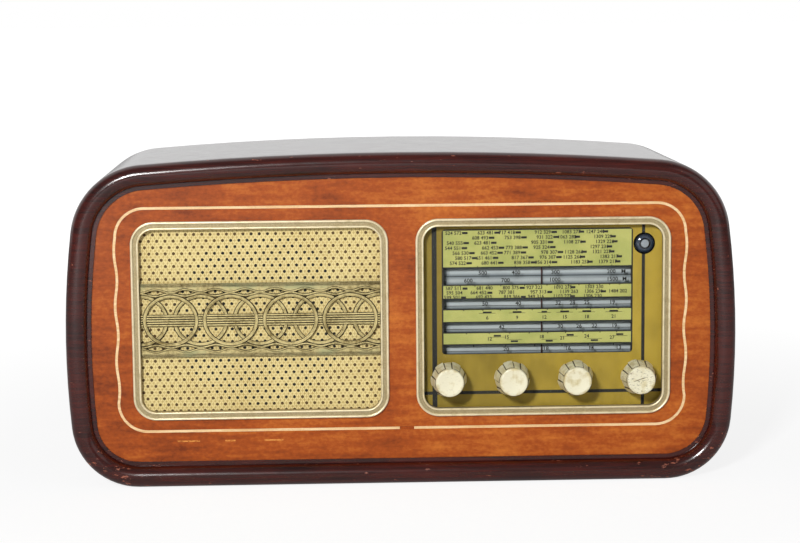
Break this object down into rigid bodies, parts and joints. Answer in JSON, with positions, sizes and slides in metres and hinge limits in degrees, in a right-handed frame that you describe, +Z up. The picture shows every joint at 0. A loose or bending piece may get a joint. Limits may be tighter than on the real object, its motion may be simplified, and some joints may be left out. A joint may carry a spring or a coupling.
{
  "type": "table radio",
  "caption": "Vintage wooden valve table radio: rounded cabinet, grille with ring fretwork, glazed dial with cord-driven pointer, ivory knobs, slotted back and a full chassis inside.",
  "frame": {"origin": "middle of the cabinet's footprint, at the height of the table; the front knobs reach past it on -Y", "axes": "+Z up, the front faces -Y, +X to the right as seen from the front"},
  "size_m": [0.6, 0.2394, 0.299],
  "materials": {
    "cabinet_veneer": "dark gloss lacquer",
    "rim_wood": "dark gloss lacquer",
    "panel_veneer": "gloss lacquer over figured veneer",
    "stringing": "pale wood, lacquered",
    "gilt_metal": "pressed, pale gilt",
    "grille_mat": "embossed like woven straw",
    "fretwork_metal": "bronze gilt with green tarnish",
    "plywood": "bare",
    "hardboard": "bare pressed board",
    "plated_steel": "zinc plated",
    "speaker_paper": "pressed paper",
    "magnet_steel": "satin",
    "core_steel": "varnished plates",
    "clear_glass": "clear",
    "scale_paint": "satin printed",
    "reflector_paint": "matt cream",
    "pointer_paint": "gloss",
    "eye_glass": "dark dome",
    "valve_glass": "silvered glass",
    "bakelite": "moulded",
    "ivory_plastic": "moulded ivory",
    "plate_aluminium": "bare",
    "drum_plastic": "moulded",
    "cord_fibre": "braided",
    "grommet_rubber": "matt",
    "screw_brass": "bare"
  },
  "bodies": {
    "cabinet": {"cabinet_shell": "cabinet_veneer", "front_rim": "rim_wood", "front_panel": "panel_veneer", "inlay_string": "stringing", "grille_bezel": "gilt_metal", "dial_bezel": "gilt_metal", "grille_sheet": "grille_mat", "grille_fretwork": "fretwork_metal", "speaker_board": "plywood", "speaker_basket": "plated_steel", "speaker_cone": "speaker_paper", "speaker_magnet": "magnet_steel", "speaker_bolts": "plated_steel", "output_transformer": "core_steel", "dial_glass": "clear_glass", "dial_mask": "scale_paint", "dial_reflector": "reflector_paint", "pointer_rail": "plated_steel", "dial_lamps": "clear_glass", "lamp_holders": "plated_steel", "eye_tube": "eye_glass", "eye_clamp": "plated_steel", "chassis": "plated_steel", "chassis_battens": "plywood", "chassis_bolts": "plated_steel", "potentiometers": "plated_steel", "band_switch": "bakelite", "pointer_cord": "cord_fibre", "drive_cord": "cord_fibre", "capacitor_stator": "plate_aluminium", "capacitor_frame": "plated_steel", "valve_sockets": "bakelite", "converter_valve": "valve_glass", "amplifier_valve": "valve_glass", "detector_valve": "valve_glass", "output_valve": "valve_glass", "rectifier_valve": "valve_glass", "if_cans": "plate_aluminium", "filter_can": "plate_aluminium", "mains_transformer": "core_steel", "socket_strip": "bakelite", "back_cover": "hardboard", "cord_grommet": "grommet_rubber", "back_screws": "screw_brass"},
    "volume_control": {"volume_knob": "ivory_plastic", "volume_spindle": "plated_steel"},
    "tone_control": {"tone_knob": "ivory_plastic", "tone_spindle": "plated_steel"},
    "band_control": {"band_knob": "ivory_plastic", "band_spindle": "plated_steel"},
    "tuning_control": {"tuning_knob": "ivory_plastic", "tuning_spindle": "plated_steel"},
    "tuning_drive": {"tuning_drum": "drum_plastic", "capacitor_rotor": "plate_aluminium"},
    "pointer": {"dial_pointer": "pointer_paint"},
    "left_cord_pulley": {"left_pulley": "drum_plastic"},
    "right_cord_pulley": {"right_pulley": "drum_plastic"},
    "selector_plug": {"voltage_selector": "bakelite"}
  },
  "joints": [
    {"name": "volume_turn", "type": "hinge", "parent": "cabinet", "child": "volume_control", "pos_m": [0.041, -0.114, 0.0946], "axis": [0, 1, 0], "range_deg": [-150, 150]},
    {"name": "tone_turn", "type": "hinge", "parent": "cabinet", "child": "tone_control", "pos_m": [0.098, -0.114, 0.0946], "axis": [0, 1, 0], "range_deg": [-150, 150]},
    {"name": "band_turn", "type": "hinge", "parent": "cabinet", "child": "band_control", "pos_m": [0.155, -0.114, 0.0946], "axis": [0, 1, 0], "range_deg": [-45, 45]},
    {"name": "tuning_turn", "type": "hinge", "parent": "cabinet", "child": "tuning_control", "pos_m": [0.212, -0.114, 0.0946], "axis": [0, 1, 0], "range_deg": [-875, 875]},
    {"name": "drum_turn", "type": "hinge", "parent": "cabinet", "child": "tuning_drive", "pos_m": [0.1267, -0.069, 0.162], "axis": [0, 1, 0], "range_deg": [-90, 90]},
    {"name": "pointer_slide", "type": "slide", "parent": "cabinet", "child": "pointer", "axis": [1, 0, 0], "range_m": [-0.0795, 0.0795]},
    {"name": "left_pulley_turn", "type": "hinge", "parent": "cabinet", "child": "left_cord_pulley", "pos_m": [0.032, -0.0715, 0.111], "axis": [0, 1, 0], "range_deg": [-800, 800]},
    {"name": "right_pulley_turn", "type": "hinge", "parent": "cabinet", "child": "right_cord_pulley", "pos_m": [0.222, -0.0715, 0.111], "axis": [0, 1, 0], "range_deg": [-800, 800]},
    {"name": "selector_turn", "type": "hinge", "parent": "cabinet", "child": "selector_plug", "pos_m": [0.07, 0.085, 0.08], "axis": [0, 1, 0], "range_deg": [0, 240]}
  ],
  "couplings": [
    {"joint": "tuning_turn", "follows": "drum_turn", "ratio": 9.6905},
    {"joint": "pointer_slide", "follows": "drum_turn", "m_per_rad": -0.0504},
    {"joint": "left_pulley_turn", "follows": "drum_turn", "ratio": 8.8421},
    {"joint": "right_pulley_turn", "follows": "drum_turn", "ratio": 8.8421}
  ]
}
